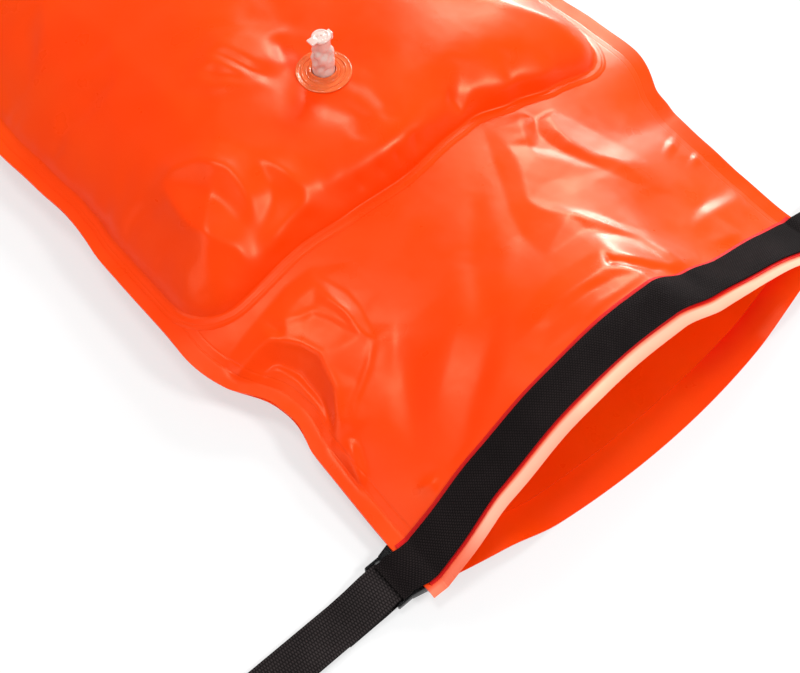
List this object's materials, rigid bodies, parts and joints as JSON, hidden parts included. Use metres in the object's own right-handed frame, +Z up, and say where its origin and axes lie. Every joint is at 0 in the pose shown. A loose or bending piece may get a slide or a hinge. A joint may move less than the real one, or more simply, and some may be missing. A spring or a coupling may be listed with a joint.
{
  "type": "open water swim buoy",
  "caption": "Roll-top dry bag swim buoy with an inflatable front chamber, push-in valve, mouth webbing, side-release buckles, leash and folded waist belt.",
  "frame": {"origin": "middle of the bag's flat underside, on the plane that it rests on", "axes": "+Z up, +Y along the bag to its closed end, -Y to its mouth, +X across the bag"},
  "size_m": [0.583, 0.7756, 0.1101],
  "materials": {
    "orange_film": "satin welded PVC film",
    "red_backing": "coated backing strip",
    "black_webbing": "ribbed woven webbing",
    "buckle_plastic": "moulded, satin",
    "clear_plastic": "clear soft PVC"
  },
  "bodies": {
    "bag": {"front_wall": "orange_film", "back_wall": "orange_film", "front_air_panel": "orange_film", "lip_stiffener": "orange_film", "mouth_backing_strip": "red_backing", "mouth_webbing": "black_webbing", "left_buckle_loop": "black_webbing", "left_buckle_female": "buckle_plastic", "leash_buckle_base": "buckle_plastic", "leash_strap": "black_webbing", "waist_belt": "black_webbing", "waist_buckle_base": "buckle_plastic", "waist_buckle_female": "buckle_plastic", "valve_flange": "clear_plastic"},
    "leash_front_prong": {"leash_buckle_front_prong": "buckle_plastic"},
    "leash_rear_prong": {"leash_buckle_rear_prong": "buckle_plastic"},
    "right_buckle": {"right_buckle_base": "buckle_plastic"},
    "right_front_prong": {"right_buckle_front_prong": "buckle_plastic"},
    "right_rear_prong": {"right_buckle_rear_prong": "buckle_plastic"},
    "waist_left_prong": {"waist_buckle_left_prong": "buckle_plastic"},
    "waist_right_prong": {"waist_buckle_right_prong": "buckle_plastic"},
    "keeper": {"belt_keeper": "black_webbing"},
    "stem": {"valve_stem": "clear_plastic"},
    "plug": {"valve_plug": "clear_plastic"},
    "flap": {"valve_flap": "clear_plastic"}
  },
  "joints": [
    {"name": "leash_front_prong_squeeze", "type": "hinge", "parent": "bag", "child": "leash_front_prong", "pos_m": [-0.166, -0.3303, 0.0051], "axis": [0, 0, 1], "range_deg": [0, 8], "stiffness_Nm_per_rad": 0.5},
    {"name": "leash_rear_prong_squeeze", "type": "hinge", "parent": "bag", "child": "leash_rear_prong", "pos_m": [-0.166, -0.3067, 0.0051], "axis": [0, 0, -1], "range_deg": [0, 8], "stiffness_Nm_per_rad": 0.5},
    {"name": "right_buckle_swivel", "type": "hinge", "parent": "bag", "child": "right_buckle", "pos_m": [0.187, -0.32, 0.0051], "axis": [0, -1, 0], "range_deg": [0, 70]},
    {"name": "right_front_prong_squeeze", "type": "hinge", "parent": "right_buckle", "child": "right_front_prong", "pos_m": [0.207, -0.3318, 0.0051], "axis": [0, 0, 1], "range_deg": [0, 8], "stiffness_Nm_per_rad": 0.5},
    {"name": "right_rear_prong_squeeze", "type": "hinge", "parent": "right_buckle", "child": "right_rear_prong", "pos_m": [0.207, -0.3082, 0.0051], "axis": [0, 0, -1], "range_deg": [0, 8], "stiffness_Nm_per_rad": 0.5},
    {"name": "waist_left_prong_squeeze", "type": "hinge", "parent": "bag", "child": "waist_left_prong", "pos_m": [-0.3493, -0.3555, 0.022], "axis": [0, 0, -1], "range_deg": [0, 8], "stiffness_Nm_per_rad": 0.5},
    {"name": "waist_right_prong_squeeze", "type": "hinge", "parent": "bag", "child": "waist_right_prong", "pos_m": [-0.3257, -0.3555, 0.022], "axis": [0, 0, 1], "range_deg": [0, 8], "stiffness_Nm_per_rad": 0.5},
    {"name": "keeper_slide", "type": "slide", "parent": "bag", "child": "keeper", "axis": [0, 1, 0], "range_m": [-0.004, 0.004]},
    {"name": "valve_push_in", "type": "slide", "parent": "bag", "child": "stem", "axis": [0, 0, -1], "range_m": [0, 0.018]},
    {"name": "plug_open", "type": "hinge", "parent": "stem", "child": "plug", "pos_m": [-0.0042, -0.06, 0.1079], "axis": [0, 1, 0], "range_deg": [0, 110]},
    {"name": "flap_open", "type": "hinge", "parent": "stem", "child": "flap", "pos_m": [-0.012, -0.065, 0.0743], "axis": [-1, 0, 0], "range_deg": [0, 40], "stiffness_Nm_per_rad": 0.001}
  ],
  "couplings": [
    {"joint": "leash_rear_prong_squeeze", "follows": "leash_front_prong_squeeze", "ratio": 1},
    {"joint": "right_rear_prong_squeeze", "follows": "right_front_prong_squeeze", "ratio": 1},
    {"joint": "waist_right_prong_squeeze", "follows": "waist_left_prong_squeeze", "ratio": 1}
  ]
}
